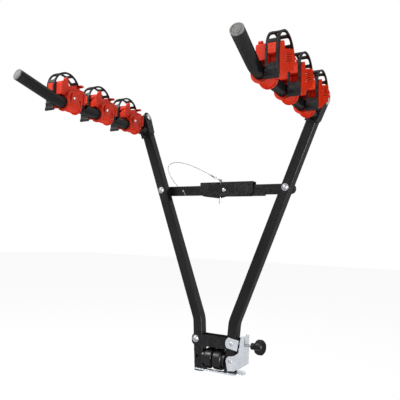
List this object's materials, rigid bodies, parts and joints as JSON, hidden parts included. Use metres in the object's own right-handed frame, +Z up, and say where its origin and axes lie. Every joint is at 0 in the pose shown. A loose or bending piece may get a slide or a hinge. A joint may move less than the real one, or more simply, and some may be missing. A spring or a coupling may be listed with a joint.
{
  "type": "tow-ball bicycle rack",
  "caption": "Folding V-frame bicycle rack that clamps a tow ball between two cups, with arms of strapped saddles, a hinged crossbar and a locking pin.",
  "frame": {"origin": "centre of the tow ball, between the two cups", "axes": "+Z up, +Y forward to the car, +X to the right as seen from behind the car; the arms reach back along -Y"},
  "size_m": [0.6864, 0.5852, 0.8476],
  "materials": {
    "black_steel": "satin powder coat",
    "black_cup": "gloss",
    "zinc": "zinc plated",
    "red_plastic": "satin",
    "strap_rubber": "satin",
    "knob_plastic": "satin",
    "cap_plastic": "matte",
    "steel_cord": "twisted wire"
  },
  "bodies": {
    "base": {"bridge": "black_steel", "bolt_plates": "zinc", "left_base_bolt": "zinc", "right_base_bolt": "zinc"},
    "left_upright": {"left_upright": "black_steel", "left_top_plug": "cap_plastic", "left_cup": "black_cup", "left_cup_screws": "zinc", "left_cross_bolt": "zinc", "left_arm_bolt": "zinc", "left_cross_spacer": "black_steel"},
    "right_upright": {"right_upright": "black_steel", "right_top_plug": "cap_plastic", "right_cup": "black_cup", "right_cup_screws": "zinc", "right_cross_bolt": "zinc", "right_arm_bolt": "zinc", "safety_plate": "zinc", "lever_bolt": "zinc"},
    "left_bar": {"left_bar": "black_steel", "left_hinge_channel": "black_steel", "hinge_bolt": "zinc", "lanyard_anchor": "zinc", "lanyard": "steel_cord", "lanyard_eye": "steel_cord"},
    "right_bar": {"right_bar": "black_steel", "right_hinge_channel": "black_steel", "hinge_packers": "black_steel", "lock_lip": "black_steel", "right_cross_spacer": "black_steel", "right_cross_nut": "zinc"},
    "lock_pin": {"lock_pin": "zinc", "lock_ring": "zinc"},
    "clamp_lever": {"clamp_lever": "zinc"},
    "knob": {"knob": "knob_plastic", "knob_stud": "zinc"},
    "left_arm": {"left_arm": "black_steel", "left_arm_cap": "cap_plastic", "left_arm_bracket": "black_steel", "left_front_cradle": "red_plastic", "left_middle_cradle": "red_plastic", "left_rear_cradle": "red_plastic", "left_clamp_caps": "red_plastic", "left_cradle_screws": "zinc", "left_strap_pins": "zinc"},
    "left_front_strap": {"left_front_strap": "strap_rubber"},
    "left_middle_strap": {"left_middle_strap": "strap_rubber"},
    "left_rear_strap": {"left_rear_strap": "strap_rubber"},
    "right_arm": {"right_arm": "black_steel", "right_arm_cap": "cap_plastic", "right_arm_bracket": "black_steel", "right_front_cradle": "red_plastic", "right_middle_cradle": "red_plastic", "right_rear_cradle": "red_plastic", "right_clamp_caps": "red_plastic", "right_cradle_screws": "zinc", "right_strap_pins": "zinc"},
    "right_front_strap": {"right_front_strap": "strap_rubber"},
    "right_middle_strap": {"right_middle_strap": "strap_rubber"},
    "right_rear_strap": {"right_rear_strap": "strap_rubber"}
  },
  "joints": [
    {"name": "left_upright_fold", "type": "hinge", "parent": "base", "child": "left_upright", "pos_m": [-0.0606, 0, 0.054], "axis": [0, 1, 0], "range_deg": [0, 16]},
    {"name": "right_upright_fold", "type": "hinge", "parent": "base", "child": "right_upright", "pos_m": [0.0606, 0, 0.054], "axis": [0, 1, 0], "range_deg": [-16.01, 0]},
    {"name": "left_bar_fold", "type": "hinge", "parent": "left_upright", "child": "left_bar", "pos_m": [-0.21269, 0, 0.509], "axis": [0, 1, 0], "range_deg": [-83.55, 0]},
    {"name": "right_bar_fold", "type": "hinge", "parent": "left_bar", "child": "right_bar", "pos_m": [0, 0.0286, 0.509], "axis": [0, 1, 0], "range_deg": [0, 135.06]},
    {"name": "lock_pin_lift", "type": "slide", "parent": "left_bar", "child": "lock_pin", "axis": [0, 0, 1], "range_m": [0, 0.05]},
    {"name": "clamp_lever_swing", "type": "hinge", "parent": "right_upright", "child": "clamp_lever", "pos_m": [0.05663, 0, 0.003], "axis": [0, 1, 0], "range_deg": [0, 25]},
    {"name": "knob_turn", "type": "hinge", "parent": "clamp_lever", "child": "knob", "pos_m": [0.12, 0, 0.052], "axis": [1, 0, 0], "continuous": true},
    {"name": "left_arm_fold", "type": "hinge", "parent": "left_upright", "child": "left_arm", "pos_m": [-0.30781, 0, 0.75591], "axis": [-0.9331, 0, -0.3595], "range_deg": [0, 90]},
    {"name": "left_front_strap_open", "type": "hinge", "parent": "left_arm", "child": "left_front_strap", "pos_m": [-0.32356, -0.0389, 0.75512], "axis": [-1, 0, 0], "range_deg": [0, 75]},
    {"name": "left_middle_strap_open", "type": "hinge", "parent": "left_arm", "child": "left_middle_strap", "pos_m": [-0.32356, -0.1743, 0.75512], "axis": [-1, 0, 0], "range_deg": [0, 75]},
    {"name": "left_rear_strap_open", "type": "hinge", "parent": "left_arm", "child": "left_rear_strap", "pos_m": [-0.32356, -0.3097, 0.75512], "axis": [-1, 0, 0], "range_deg": [0, 75]},
    {"name": "right_arm_fold", "type": "hinge", "parent": "right_upright", "child": "right_arm", "pos_m": [0.30781, 0, 0.75591], "axis": [-0.9331, 0, 0.3595], "range_deg": [0, 90]},
    {"name": "right_front_strap_open", "type": "hinge", "parent": "right_arm", "child": "right_front_strap", "pos_m": [0.32356, -0.0389, 0.75512], "axis": [-1, 0, 0], "range_deg": [0, 75]},
    {"name": "right_middle_strap_open", "type": "hinge", "parent": "right_arm", "child": "right_middle_strap", "pos_m": [0.32356, -0.1743, 0.75512], "axis": [-1, 0, 0], "range_deg": [0, 75]},
    {"name": "right_rear_strap_open", "type": "hinge", "parent": "right_arm", "child": "right_rear_strap", "pos_m": [0.32356, -0.3097, 0.75512], "axis": [-1, 0, 0], "range_deg": [0, 75]}
  ],
  "couplings": [
    {"joint": "right_upright_fold", "follows": "left_upright_fold", "ratio": -1},
    {"joint": "left_bar_fold", "follows": "left_upright_fold", "ratio": -5.219},
    {"joint": "right_bar_fold", "follows": "left_upright_fold", "ratio": 8.4379}
  ]
}
